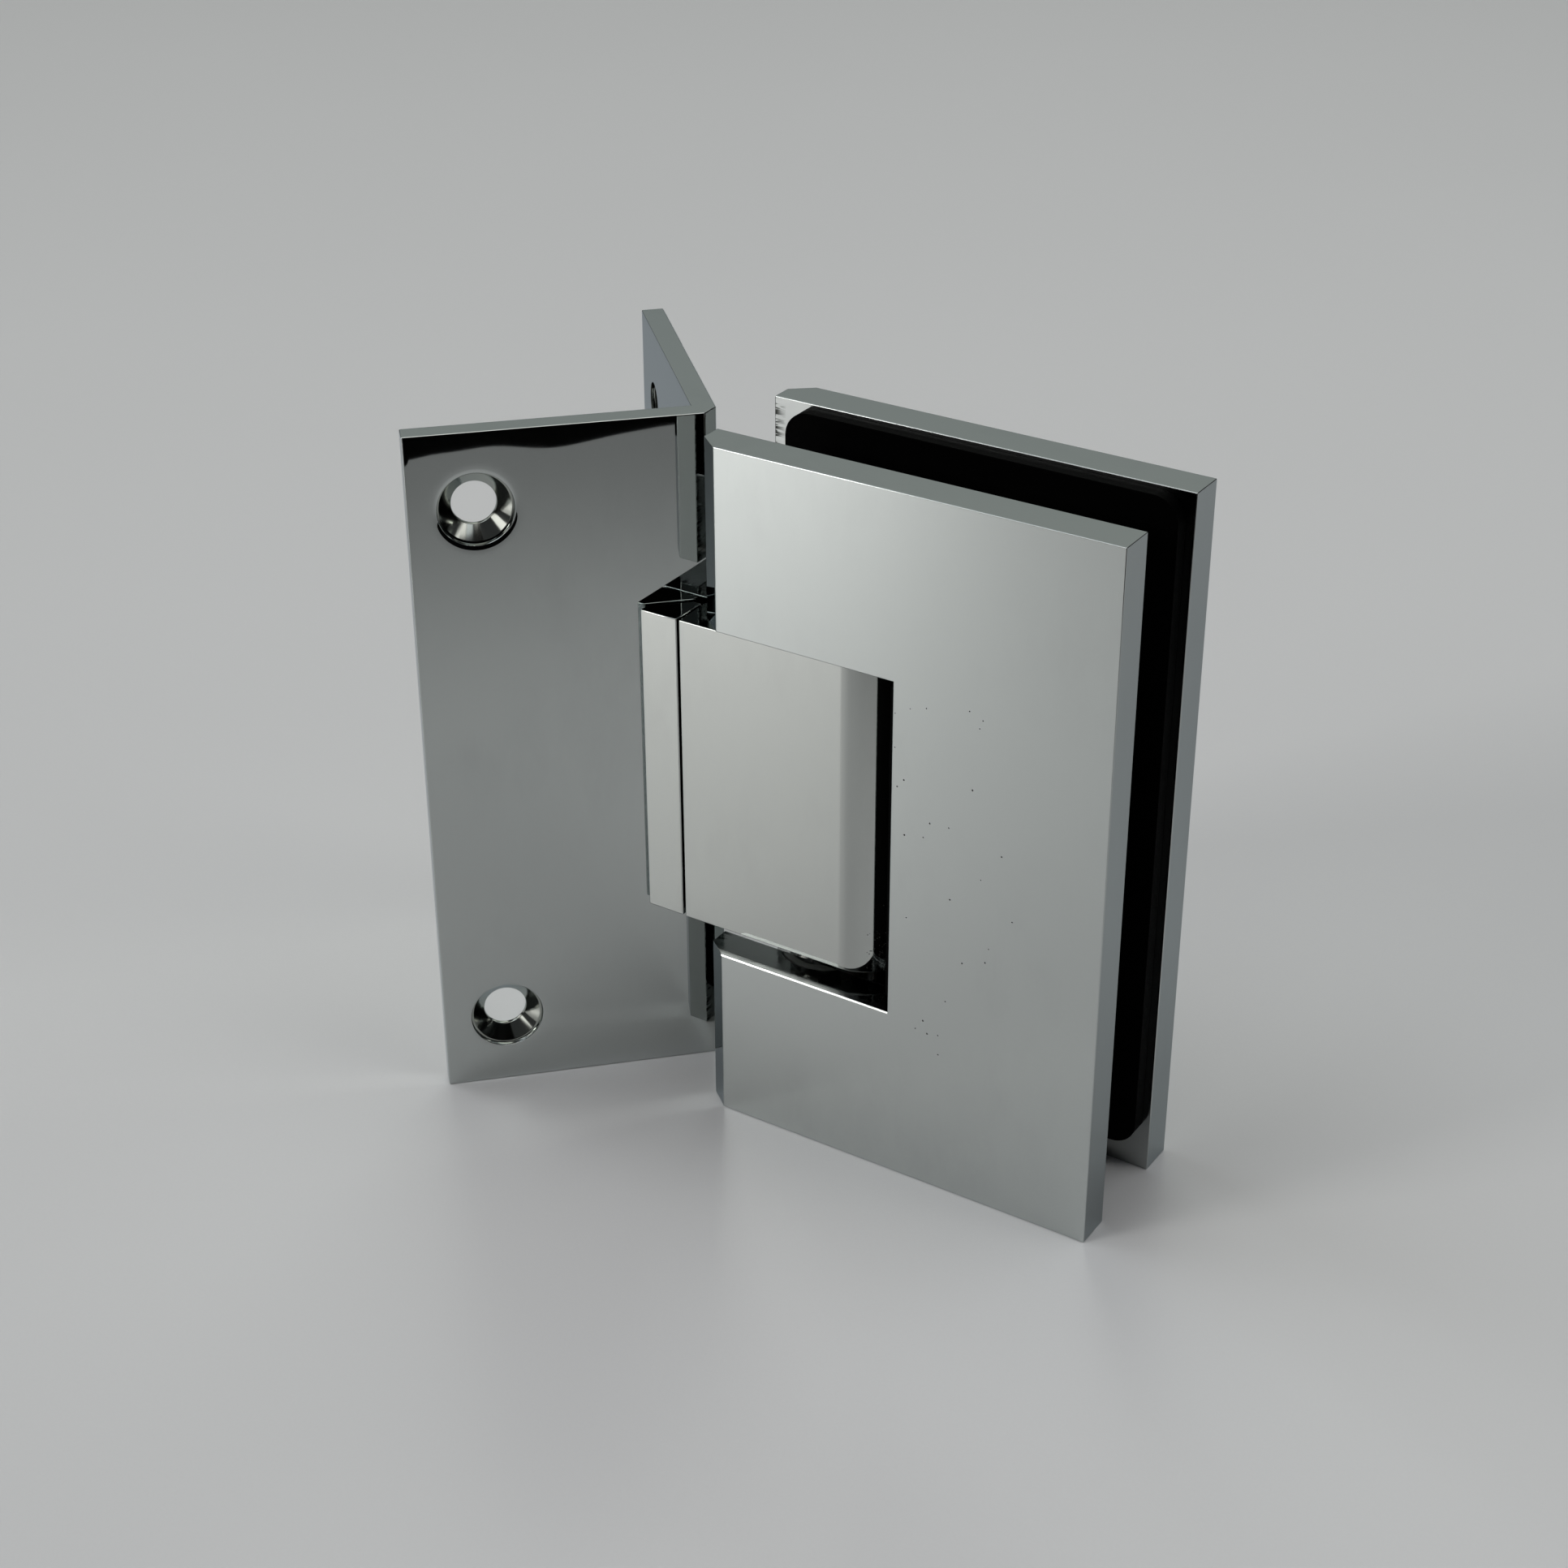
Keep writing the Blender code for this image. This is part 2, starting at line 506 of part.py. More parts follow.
def detent_spring(end, looks):
    """Helical spring between a plug and its plunger."""
    start = BLOCK_LEFT + REST_GAP + PLUG_LENGTH + REST_GAP + SPRING_WIRE
    stop = PLUNGER_FACE_X - PLUNGER_LENGTH - REST_GAP - SPRING_WIRE
    steps = 12 * SPRING_TURNS
    sides = 5
    mesh = bmesh.new()
    rings = []
    for step in range(steps + 1):
        turn = 2 * math.pi * SPRING_TURNS * step / steps
        along = (stop - start) * step / steps
        ring = []
        for side in range(sides):
            angle = 2 * math.pi * side / sides
            reach = SPRING_RADIUS + SPRING_WIRE * math.cos(angle)
            ring.append(mesh.verts.new((reach * math.cos(turn), reach * math.sin(turn),
                                        along + SPRING_WIRE * math.sin(angle))))
        rings.append(ring)
    for lower, upper in zip(rings, rings[1:]):
        for side in range(sides):
            after = (side + 1) % sides
            mesh.faces.new((lower[side], lower[after], upper[after], upper[side]))
    mesh.faces.new(rings[0])
    mesh.faces.new(rings[-1])
    finish(f"detent_spring_{end}", mesh, looks["spring"], None, (start, 0, height_of(end, DETENT_OFFSET)),
           (1, 0, 0))


def main():
    clear_scene()
    looks = make_looks()
    pivot = bpy.data.objects.new("door_pivot", None)
    bpy.context.scene.collection.objects.link(pivot)
    corner_plate(looks)
    pivot_block(looks)
    front_plate(looks, pivot)
    rear_plate(looks, pivot)
    pivot_pin(looks, pivot)
    for side in SIDES:
        wedge(side, looks)
        gasket(side, looks, pivot)
    for end in ENDS:
        block_screw(end, looks)
        bush(end, looks)
        spring_plug(end, looks)
        detent_spring(end, looks)
        detent_plunger(end, looks)
        clamp_screw(end, looks, pivot)
        glass_sleeve(end, looks, pivot)
        pin_screw(end, looks, pivot)


main()
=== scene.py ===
"""Studio picture of a wall-to-glass shower door hinge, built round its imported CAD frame.

Lengths are metres in the row frame: the origin lies on the pivot axis at floor level, +X runs into the
glass, +Y to the hinge's screw side and +Z is up.
"""
import math
import random

import bmesh
import bpy
from mathutils import Matrix, Vector, noise

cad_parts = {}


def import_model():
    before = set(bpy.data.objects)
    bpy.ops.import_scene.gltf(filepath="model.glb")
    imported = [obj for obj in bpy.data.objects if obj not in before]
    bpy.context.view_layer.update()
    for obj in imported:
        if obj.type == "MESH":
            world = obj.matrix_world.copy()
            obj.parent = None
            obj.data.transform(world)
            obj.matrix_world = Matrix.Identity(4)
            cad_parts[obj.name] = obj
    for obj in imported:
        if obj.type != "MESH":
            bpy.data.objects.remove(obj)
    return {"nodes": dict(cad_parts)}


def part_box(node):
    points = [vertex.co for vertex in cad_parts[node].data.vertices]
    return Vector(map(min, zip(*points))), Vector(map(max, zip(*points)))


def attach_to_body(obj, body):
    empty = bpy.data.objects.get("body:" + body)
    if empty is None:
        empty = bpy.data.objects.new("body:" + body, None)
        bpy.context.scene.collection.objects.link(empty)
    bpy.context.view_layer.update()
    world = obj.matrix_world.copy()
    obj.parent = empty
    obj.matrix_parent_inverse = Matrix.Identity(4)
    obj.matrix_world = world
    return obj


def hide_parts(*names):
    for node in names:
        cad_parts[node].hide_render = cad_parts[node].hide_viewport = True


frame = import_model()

MM = 0.001
ROOT2 = math.sqrt(2)
UP = Vector((0, 0, 1))
SIDES = {"front": -1, "rear": 1}
ENDS = {"lower": -1, "upper": 1}
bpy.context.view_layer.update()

# Sizes that the boxes of the CAD nodes give
front_low, front_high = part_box("front_clamp_plate")
rear_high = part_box("rear_clamp_plate")[1]
corner_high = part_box("corner_plate")[1]
block_low, block_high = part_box("pivot_block")
wedge_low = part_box("front_wedge")[0]
CLAMP_LEFT = front_low.x
CLAMP_RIGHT = front_high.x
CLAMP_OUTER = rear_high.y
CLAMP_TOP = front_high.z
MID_Z = CLAMP_TOP / 2
LEAF_HEIGHT = corner_high.z
SEAT_X = corner_high.x
BLOCK_HALF = block_high.y

# Sizes that the boxes don't give: the CAD's own, or within 0.2 mm of them
CLAMP_THICK = 4.9 * MM
CLAMP_INNER = CLAMP_OUTER - CLAMP_THICK
CHAMFER_X = 2.7 * MM
CHAMFER_Y = 2.2 * MM
NOTCH_RIGHT = 15.4 * MM
NOTCH_HALF_HEIGHT = 22.1 * MM
CLAMP_SCREW_X = 20 * MM
CLAMP_SCREW_OFFSET = 29 * MM
CLAMP_SCREW_RADIUS = 2.7 * MM
CLAMP_HEAD_RADIUS = 5.6 * MM
BOSS_RADIUS = 5.3 * MM
BOSS_TOP = 2 * MM
PAD_HALF = 5.5 * MM
PAD_FACE = 3.3 * MM
PAD_START = 22.6 * MM
PAD_END = 31.5 * MM
NOSE_HALF = 1.2 * MM
VERTEX_X = SEAT_X + NOSE_HALF
LEAF_LENGTH = 36.69 * MM
LEAF_THICK = 2.8 * MM
WALL_HOLE_TO_VERTEX = 28.7 * MM
WALL_HOLE_SPACING = 70 * MM
WALL_HOLE_RADIUS = 2.68 * MM
WALL_CONE_RADIUS = 4.24 * MM
WALL_STEP_RADIUS = 4.54 * MM
WALL_STEP_DEPTH = 0.6 * MM
BLOCK_CORNER = 6.5 * MM
WEDGE_TIP_Y = 2.6 * MM
WEDGE_GAP = 0.3 * MM
BLOCK_SCREW_OFFSET = 15.5 * MM
BLOCK_SCREW_SEAT_X = SEAT_X - 3.5 * MM
BLOCK_HEAD_RADIUS = 3.8 * MM
BLOCK_SCREW_RADIUS = 2 * MM
BLOCK_SCREW_BORE = 2.3 * MM
BLOCK_SCREW_DEPTH = 8 * MM
BUSH_BORE = 5.8 * MM
BUSH_DEPTH = 6.3 * MM
PIN_BORE = 4.8 * MM
DETENT_BORE = 3 * MM
DETENT_OFFSET = 5 * MM
GASKET_CORNER = 3.2 * MM
CUTOUT_RIGHT = 14.4 * MM
CUTOUT_HALF_HEIGHT = 32.5 * MM
EAR_RADIUS = 8 * MM
LIP_RIGHT = 15.1 * MM
LIP_HALF_HEIGHT = 20.7 * MM
LIP_INNER = 4.3 * MM
LIP_OUTER = 9.6 * MM

# Small shapes that the CAD doesn't have: a rubbed facet on the notch's lower outer edge, and a shallow
# polished dish round each wall hole
NOTCH_RIM_DROP = 0.2 * MM
NOTCH_RIM_DEPTH = 0.125 * MM
WALL_DISH_RADIUS = 6.1 * MM

# Rounding of the sharp edges
PLATE_EDGE = 0.12 * MM
CORNER_PLATE_EDGE = 0.16 * MM
WEDGE_EDGE = 0.17 * MM
BLOCK_EDGE = 0.12 * MM
GASKET_EDGE = 0.3 * MM
RIM_SHARE = 0.2

# Camera
CAMERA_PLACE = Vector((152.96, -246.81, 206.03)) * MM
CAMERA_AZIMUTH = 32.805
CAMERA_ELEVATION = 29.107
CAMERA_ROLL = -0.196
CAMERA_LENS = 63.05


# ---------------------------------------------------------------- materials

class Nodes:
    """Short ways to add and join the nodes of one material or world."""

    def __init__(self, tree):
        self.tree = tree

    def add(self, kind, links=None, **settings):
        node = self.tree.nodes.new(kind)
        for key, value in settings.items():
            setattr(node, key, value)
        for key, value in (links or {}).items():
            socket = node.inputs[key]
            if isinstance(value, bpy.types.NodeSocket):
                self.tree.links.new(value, socket)
            else:
                socket.default_value = value
        return node

    def math(self, operation, a, b=0.0, clamp=False):
        return self.add("ShaderNodeMath", {0: a, 1: b}, operation=operation, use_clamp=clamp).outputs[0]

    def ramp(self, value, low, high, start=0.0, end=1.0, smooth=False):
        kind = "SMOOTHSTEP" if smooth else "LINEAR"
        return self.add("ShaderNodeMapRange", {"Value": value, "From Min": low, "From Max": high,
                                               "To Min": start, "To Max": end},
                        interpolation_type=kind).outputs[0]

    def mix(self, factor, a, b):
        node = self.add("ShaderNodeMix", {"Factor": factor, 6: a, 7: b}, data_type="RGBA")
        return node.outputs[2]

    def place(self, scale=(1, 1, 1)):
        """Object coordinates in metres, stretched by scale."""
        coordinates = self.add("ShaderNodeTexCoord").outputs["Object"]
        return self.add("ShaderNodeMapping", {"Vector": coordinates, "Scale": scale}).outputs[0]

    def noise(self, vector, scale, detail=2.0, rough=0.5):
        return self.add("ShaderNodeTexNoise", {"Vector": vector, "Scale": scale, "Detail": detail,
                                               "Roughness": rough}).outputs["Fac"]

    def bump(self, height, distance, before=None):
        links = {"Height": height, "Distance": distance, "Strength": 1.0}
        if before is not None:
            links["Normal"] = before
        return self.add("ShaderNodeBump", links).outputs[0]


def new_material(name):
    made = bpy.data.materials.new(name)
    made.use_nodes = True
    tree = made.node_tree
    shader = tree.nodes["Principled BSDF"]
    return made, Nodes(tree), shader


def connect(nodes, shader, **inputs):
    names = {"colour": "Base Color", "roughness": "Roughness", "metallic": "Metallic",
             "normal": "Normal", "specular": "Specular IOR Level"}
    for key, value in inputs.items():
        socket = shader.inputs[names[key]]
        if isinstance(value, bpy.types.NodeSocket):
            nodes.tree.links.new(value, socket)
        else:
            socket.default_value = value


CHROME_BASE = (0.496, 0.520, 0.509)
BLOCK_BASE = (0.474, 0.490, 0.472)
MILLED_BASE = (0.376, 0.392, 0.386)
COUNTERSUNK_BASE = (0.36, 0.375, 0.345)
CHROME_GRAZING = (0.56, 0.605, 0.65, 1)


def chrome_material(name, base, roughness, haze, streaks=0.0, streak_scale=(1, 1, 1)):
    """Polished plating: faint waves, hazy wiping marks and, where it was milled first, streaks."""
    made, nodes, shader = new_material(name)
    place = nodes.place()
    cloud = nodes.noise(place, 55, 3, 0.6)
    smear = nodes.noise(nodes.place((1, 1, 0.35)), 260, 4, 0.65)
    marks = nodes.math("MULTIPLY", nodes.ramp(cloud, 0.42, 0.7), nodes.ramp(smear, 0.4, 0.75))
    rough = nodes.math("ADD", roughness, nodes.math("MULTIPLY", marks, haze))
    dull = tuple(c * 0.9 for c in base)
    colour = nodes.mix(nodes.math("MULTIPLY", marks, 0.6), (*base, 1), (*dull, 1))
    normal = nodes.bump(nodes.noise(place, 90, 1, 0.4), 3e-6)
    normal = nodes.bump(nodes.noise(place, 900, 2, 0.5), 5e-8, normal)
    if streaks:
        lines = nodes.noise(nodes.place(streak_scale), 1000, 3, 0.7)
        normal = nodes.bump(lines, streaks, normal)
        rough = nodes.math("ADD", rough, nodes.ramp(lines, 0.45, 0.75, 0, 0.12))
        parts = nodes.add("ShaderNodeSeparateXYZ", {0: place}).outputs
        # Scuffs run in from the wall-side edge
        near_edge = nodes.ramp(parts[0], CLAMP_LEFT + 0.3 * MM, CLAMP_LEFT + 1.6 * MM, 1, 0)
        scratches = nodes.noise(nodes.place((0.12, 1, 1)), 2600, 2, 0.6)
        scuffed = nodes.math("MULTIPLY", near_edge, nodes.ramp(scratches, 0.5, 0.56))
        colour = nodes.mix(scuffed, colour, (0.03, 0.032, 0.03, 1))
        # The plating is duller along the rim where the cutter broke out
        depth = nodes.math("ABSOLUTE", parts[1])
        dulled = nodes.ramp(depth, CLAMP_OUTER - 1.5 * MM, CLAMP_OUTER - 0.7 * MM, 0, 0.1)
        rough = nodes.math("ADD", rough, dulled)
    shader.inputs["Specular Tint"].default_value = CHROME_GRAZING
    connect(nodes, shader, colour=colour, roughness=rough, metallic=1.0, normal=normal)
    return made


def steel_material(name, base, roughness):
    """Turned steel with fine rings of grain and a few dark handling marks."""
    made, nodes, shader = new_material(name)
    place = nodes.place()
    grain = nodes.noise(place, 4000, 3, 0.6)
    stain = nodes.ramp(nodes.noise(place, 300, 3, 0.6), 0.5, 0.75)
    colour = nodes.mix(nodes.math("MULTIPLY", stain, 0.5), (*base, 1), (*(c * 0.6 for c in base), 1))
    rough = nodes.math("ADD", roughness, nodes.math("MULTIPLY", stain, 0.15))
    connect(nodes, shader, colour=colour, roughness=rough, metallic=1.0,
            normal=nodes.bump(grain, 3e-6))
    return made


def rubber_material():
    """Matt black rubber with a fine moulded grain and a little pale dust."""
    made, nodes, shader = new_material("rubber")
    place = nodes.place()
    grain = nodes.noise(place, 5200, 4, 0.65)
    dust = nodes.ramp(nodes.noise(place, 700, 4, 0.7), 0.62, 0.85)
    colour = nodes.mix(dust, (0.0004, 0.0004, 0.0004, 1), (0.0016, 0.0017, 0.0018, 1))
    rough = nodes.ramp(grain, 0.3, 0.7, 0.5, 0.7)
    connect(nodes, shader, colour=colour, roughness=rough, metallic=0.0, specular=0.03,
            normal=nodes.bump(grain, 1.2e-5))
    return made


def nylon_material():
    made, nodes, shader = new_material("nylon")
    place = nodes.place()
    cloud = nodes.noise(place, 500, 3, 0.6)
    colour = nodes.mix(nodes.ramp(cloud, 0.4, 0.7), (0.66, 0.65, 0.61, 1), (0.54, 0.53, 0.48, 1))
    connect(nodes, shader, colour=colour, roughness=nodes.ramp(cloud, 0.3, 0.7, 0.4, 0.6), metallic=0.0,
            normal=nodes.bump(nodes.noise(place, 3500, 2), 6e-6))
    return made


def speck_material():
    made, nodes, shader = new_material("plating_pits")
    cloud = nodes.noise(nodes.place(), 3000, 2)
    colour = nodes.mix(cloud, (0.012, 0.014, 0.012, 1), (0.05, 0.05, 0.045, 1))
    connect(nodes, shader, colour=colour, roughness=nodes.ramp(cloud, 0.3, 0.7, 0.5, 0.8), metallic=0.0)
    return made


looks = {
    "chrome": chrome_material("chrome", CHROME_BASE, 0.018, 0.03),
    "block_chrome": chrome_material("block_chrome", BLOCK_BASE, 0.03, 0.04),
    "milled": chrome_material("milled_chrome", MILLED_BASE, 0.06, 0.06, 6e-6, (0.25, 1, 1.6)),
    "countersunk": chrome_material("countersunk_chrome", COUNTERSUNK_BASE, 0.1, 0.08),
    "steel": steel_material("steel", (0.40, 0.40, 0.39), 0.26),
    "spring_steel": steel_material("spring_steel", (0.27, 0.27, 0.28), 0.32),
    "brass": steel_material("brass", (0.58, 0.42, 0.17), 0.24),
    "rubber": rubber_material(),
    "nylon": nylon_material(),
    "pits": speck_material(),
}


# ---------------------------------------------------------------- mesh tools

def mesh_object(name, mesh, *materials):
    bmesh.ops.recalc_face_normals(mesh, faces=mesh.faces)
    data = bpy.data.meshes.new(name)
    mesh.to_mesh(data)
    mesh.free()
    made = bpy.data.objects.new(name, data)
    bpy.context.scene.collection.objects.link(made)
    for material in materials:
        data.materials.append(looks[material])
    return made


def bake(target):
    """Apply the target's modifiers to its own mesh."""
    graph = bpy.context.evaluated_depsgraph_get()
    done = bpy.data.meshes.new_from_object(target.evaluated_get(graph))
    target.modifiers.clear()
    target.data = done


def bevel(target, width, segments=3, angle=25, weighted=False):
    """Round the sharp edges, or each edge by its own share of the width."""
    step = target.modifiers.new("edges", "BEVEL")
    step.width = width
    step.segments = segments
    step.limit_method = "WEIGHT" if weighted else "ANGLE"
    step.angle_limit = math.radians(angle)
    bake(target)


def combine(target, tools, operation):
    """Cut tools from the target, or join them on, and remove the tools."""
    for tool in tools:
        step = target.modifiers.new("combine", "BOOLEAN")
        step.operation = operation
        step.solver = "EXACT"
        step.material_mode = "TRANSFER"
        step.object = tool
    bake(target)
    for tool in tools:
        bpy.data.objects.remove(tool, do_unlink=True)


def prism(name, outline, low, high, *materials, plane="xy"):
    """A straight solid; the outline lies in plane xy or xz, and low and high are on the third axis."""
    mesh = bmesh.new()

    def corner(a, b, c):
        return mesh.verts.new((a, b, c) if plane == "xy" else (a, c, b))

    bottom = [corner(a, b, low) for a, b in outline]
    top = [corner(a, b, high) for a, b in outline]
    mesh.faces.new(bottom)
    mesh.faces.new(top)
    for k in range(len(outline)):
        after = (k + 1) % len(outline)
        mesh.faces.new((bottom[k], bottom[after], top[after], top[k]))
    return mesh_object(name, mesh, *materials)


def turned(name, profile, place, direction, *materials, segments=96):
    """A closed solid of revolution from (radius, height) points along direction from place."""
    mesh = bmesh.new()
    turn = UP.rotation_difference(Vector(direction)).to_matrix()
    rings = []
    for radius, height in profile:
        ring = []
        for step in range(segments):
            angle = 2 * math.pi * step / segments
            point = Vector((radius * math.cos(angle), radius * math.sin(angle), height))
            ring.append(mesh.verts.new(Vector(place) + turn @ point))
        rings.append(ring)
    for lower, upper in zip(rings, rings[1:]):
        for step in range(segments):
            after = (step + 1) % segments
            mesh.faces.new((lower[step], lower[after], upper[after], upper[step]))
    mesh.faces.new(rings[0])
    mesh.faces.new(rings[-1])
    return mesh_object(name, mesh, *materials)


def hexagonal(name, across_flats, low, high, place, direction, *materials):
    reach = across_flats / math.sqrt(3)
    return turned(name, [(reach, low), (reach, high)], place, direction, *materials, segments=6)


def arc(centre_x, centre_y, radius, start, end, steps):
    angles = [math.radians(start + (end - start) * k / steps) for k in range(steps + 1)]
    return [(centre_x + radius * math.cos(a), centre_y + radius * math.sin(a)) for a in angles]


def slice_grid(target, normal, places):
    """Cut the mesh by parallel planes, so that it can follow a slight warp."""
    mesh = bmesh.new()
    mesh.from_mesh(target.data)
    for place in places:
        geometry = mesh.verts[:] + mesh.edges[:] + mesh.faces[:]
        bmesh.ops.bisect_plane(mesh, geom=geometry, dist=1e-7, plane_co=Vector(normal) * place,
                               plane_no=normal)
    mesh.to_mesh(target.data)
    mesh.free()


def shaded(target, angle=32):
    """Smooth shading that keeps the large flat faces flat up to their rounded edges."""
    target.data.shade_smooth()
    target.data.set_sharp_from_angle(angle=math.radians(angle))
    step = target.modifiers.new("flat_faces", "WEIGHTED_NORMAL")
    step.mode = "FACE_AREA"
    step.weight = 100
    step.thresh = 0.01
    step.keep_sharp = True
    bake(target)


def attach(target, body, slot, *nodes):
    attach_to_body(target, body)
    if nodes:
        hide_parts(*nodes)


def height_of(end, offset):
    return MID_Z + ENDS[end] * offset


# ---------------------------------------------------------------- clamp plates

def plate_body(side):
    """A plate as four rings: inner face, start of the wall-side chamfer, notch rim and outer face."""
    sign = SIDES[side]
    low, high = MID_Z - NOTCH_HALF_HEIGHT, MID_Z + NOTCH_HALF_HEIGHT
    rim_left = CLAMP_LEFT + CHAMFER_X * (1 - NOTCH_RIM_DEPTH / CHAMFER_Y)
    mesh = bmesh.new()
    rings = []
    for depth, left, sill in ((CLAMP_INNER, CLAMP_LEFT, low), (CLAMP_OUTER - CHAMFER_Y, CLAMP_LEFT, low),
                              (CLAMP_OUTER - NOTCH_RIM_DEPTH, rim_left, low),
                              (CLAMP_OUTER, CLAMP_LEFT + CHAMFER_X, low - NOTCH_RIM_DROP)):
        outline = [(left, 0), (CLAMP_RIGHT, 0), (CLAMP_RIGHT, CLAMP_TOP), (left, CLAMP_TOP),
                   (left, high), (NOTCH_RIGHT, high), (NOTCH_RIGHT, sill), (left, sill)]
        rings.append([mesh.verts.new((x, sign * depth, z)) for x, z in outline])
    mesh.faces.new(rings[0]).material_index = 1
    mesh.faces.new(rings[3])
    for lower, upper in zip(rings, rings[1:]):
        for k in range(8):
            after = (k + 1) % 8
            side_face = mesh.faces.new((lower[k], lower[after], upper[after], upper[k]))
            if k in (4, 5, 6):
                side_face.material_index = 1
    bmesh.ops.recalc_face_normals(mesh, faces=mesh.faces)
    shares = mesh.edges.layers.float.new("bevel_weight_edge")
    for edge in mesh.edges:
        on_rim = all(abs(v.co.z - low) < 0.5 * MM and abs(v.co.y) > CLAMP_OUTER - MM for v in edge.verts)
        if edge.calc_face_angle() > math.radians(25):
            edge[shares] = RIM_SHARE if on_rim else 1.0
    plate = mesh_object(f"{side}_plate_polished", mesh, "chrome", "milled")
    bevel(plate, PLATE_EDGE, 3, weighted=True)
    return plate


def front_plate():
    plate = plate_body("front")
    for end in ENDS:
        place = (CLAMP_SCREW_X, 0, height_of(end, CLAMP_SCREW_OFFSET))
        boss = turned("boss", [(BOSS_RADIUS, 1 * MM - CLAMP_OUTER), (BOSS_RADIUS, BOSS_TOP - 0.3 * MM),
                               (BOSS_RADIUS - 0.3 * MM, BOSS_TOP)], place, (0, 1, 0), "milled")
        combine(plate, [boss], "UNION")
        bore = CLAMP_SCREW_RADIUS + 0.3 * MM
        combine(plate, [turned("bore", [(bore, 2 * MM - CLAMP_OUTER), (bore, BOSS_TOP + MM)], place,
                               (0, 1, 0), "milled")], "DIFFERENCE")
    shaded(plate)
    attach(plate, "glass_clamp", "chrome", "front_clamp_plate")


def rear_plate():
    plate = plate_body("rear")
    hole = CLAMP_SCREW_RADIUS + 0.3 * MM
    sink = CLAMP_HEAD_RADIUS + 0.3 * MM
    for end in ENDS:
        place = (CLAMP_SCREW_X, 0, height_of(end, CLAMP_SCREW_OFFSET))
        profile = [(hole, CLAMP_INNER - MM), (hole, CLAMP_OUTER - (sink - hole)),
                   (sink, CLAMP_OUTER - 0.1 * MM), (sink + 0.15 * MM, CLAMP_OUTER + 0.02 * MM),
                   (sink + 0.15 * MM, CLAMP_OUTER + MM)]
        combine(plate, [turned("sink", profile, place, (0, 1, 0), "chrome")], "DIFFERENCE")
        low, high = sorted((height_of(end, PAD_START), height_of(end, PAD_END)))
        pad = prism("pad", [(-PAD_HALF, low), (PAD_HALF, low), (PAD_HALF, high), (-PAD_HALF, high)],
                    PAD_FACE, CLAMP_INNER + 2 * MM, "milled", plane="xz")
        combine(plate, [pad], "UNION")
    shaded(plate)
    attach(plate, "glass_clamp", "chrome", "rear_clamp_plate")


# Small pits in the front plate's plating: shares of the plate's width and height, and radius in mm
PITS = ((0.497, 0.703, 0.05), (0.533, 0.715, 0.05), (0.571, 0.722, 0.06), (0.672, 0.735, 0.07),
        (0.704, 0.727, 0.06), (0.697, 0.715, 0.05), (0.521, 0.612, 0.08), (0.505, 0.600, 0.07),
        (0.685, 0.627, 0.09), (0.586, 0.561, 0.09), (0.632, 0.563, 0.06), (0.525, 0.533, 0.10),
        (0.571, 0.538, 0.06), (0.759, 0.545, 0.08), (0.712, 0.502, 0.06), (0.640, 0.459, 0.08),
        (0.737, 0.404, 0.06), (0.730, 0.382, 0.07), (0.534, 0.411, 0.06), (0.674, 0.370, 0.07),
        (0.790, 0.455, 0.06), (0.582, 0.261, 0.09), (0.563, 0.245, 0.06), (0.593, 0.243, 0.08),
        (0.620, 0.246, 0.06), (0.622, 0.216, 0.07), (0.636, 0.303, 0.07), (0.498, 0.655, 0.05))


PIT_SPREAD = 1.7
SPECK_SIDES = 9
CORNER_PITS = 70
CORNER_PIT_TURN = 323


def speck(mesh, centre, radius, facing, draw):
    """A low dome of crusted plating with an uneven rim."""
    along = facing.orthogonal().normalized()
    across = facing.cross(along)
    rim = []
    for step in range(SPECK_SIDES):
        angle = 2 * math.pi * step / SPECK_SIDES
        reach = radius * draw.uniform(0.7, 1.25)
        rim.append(mesh.verts.new(centre + along * (reach * math.cos(angle)) +
                                  across * (reach * math.sin(angle)) - facing * 0.004 * MM))
    crown = mesh.verts.new(centre + facing * 0.012 * MM)
    root = mesh.verts.new(centre - facing * 0.02 * MM)
    for step in range(SPECK_SIDES):
        after = (step + 1) % SPECK_SIDES
        mesh.faces.new((rim[step], rim[after], crown))
        mesh.faces.new((rim[after], rim[step], root))


def plating_specks():
    """Pits on the front plate by the list, and others scattered low on the block's round corner."""
    draw = random.Random(7)
    mesh = bmesh.new()
    face = Vector((0, -1, 0))
    for across, up, radius in PITS:
        centre = Vector((CLAMP_LEFT + across * (CLAMP_RIGHT - CLAMP_LEFT), -CLAMP_OUTER - 0.002 * MM,
                         up * CLAMP_TOP))
        speck(mesh, centre, PIT_SPREAD * radius * MM, face, draw)
    specks = mesh_object("front_plate_pits", mesh, "pits")
    attach(specks, "glass_clamp", "chrome")
    mesh = bmesh.new()
    for _ in range(CORNER_PITS):
        turn = math.radians(CORNER_PIT_TURN - abs(draw.gauss(0, 8)))
        face = Vector((math.cos(turn), math.sin(turn), 0))
        centre = Vector((block_high.x - BLOCK_CORNER, BLOCK_CORNER - BLOCK_HALF,
                         block_low.z + 0.4 * MM + abs(draw.gauss(0, 2.6)) * MM))
        speck(mesh, centre + face * (BLOCK_CORNER + 0.002 * MM), draw.uniform(0.03, 0.1) * MM, face, draw)
    specks = mesh_object("block_corner_pits", mesh, "pits")
    attach(specks, "wall_side", "chrome")


# ---------------------------------------------------------------- corner plate

def leaf_point(side, along, depth):
    sign = SIDES[side]
    return (VERTEX_X - (along + depth) / ROOT2, sign * (along - depth) / ROOT2)


